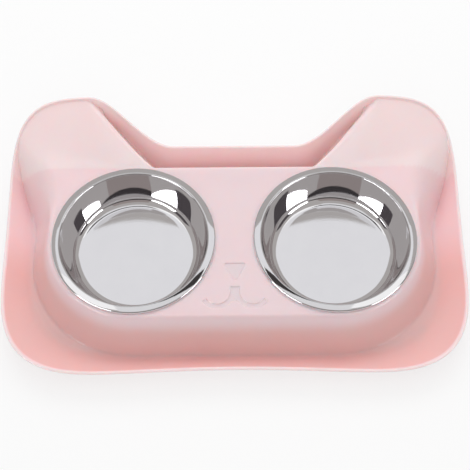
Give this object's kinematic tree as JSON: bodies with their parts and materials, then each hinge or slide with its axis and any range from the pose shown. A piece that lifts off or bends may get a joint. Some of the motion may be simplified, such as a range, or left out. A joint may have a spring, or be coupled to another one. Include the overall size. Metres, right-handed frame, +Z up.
{
  "type": "double pet bowl",
  "caption": "Raised pet feeding tray with a cat-eared outline, a gutter round its deck and lift-out steel bowls.",
  "frame": {"origin": "middle of the outline, on the surface that the rubber feet stand on", "axes": "+Z up, +X to the right along the two bowls, -Y towards the front edge and the moulded face"},
  "size_m": [0.373, 0.2272, 0.0627],
  "materials": {
    "tray_plastic": "pale pink moulded polypropylene, softly glossy",
    "bowl_steel": "polished stainless sheet, with a satin spun floor",
    "foot_rubber": "matt grey rubber"
  },
  "bodies": {
    "tray": {"tray": "tray_plastic", "foot_front_left": "foot_rubber", "foot_front_right": "foot_rubber", "foot_rear_left": "foot_rubber", "foot_rear_right": "foot_rubber"},
    "left_bowl": {"left_bowl": "bowl_steel"},
    "right_bowl": {"right_bowl": "bowl_steel"}
  },
  "joints": [
    {"name": "left_bowl_lift", "type": "slide", "parent": "tray", "child": "left_bowl", "axis": [0, 0, 1], "range_m": [0, 0.08]},
    {"name": "right_bowl_lift", "type": "slide", "parent": "tray", "child": "right_bowl", "axis": [0, 0, 1], "range_m": [0, 0.08]}
  ]
}
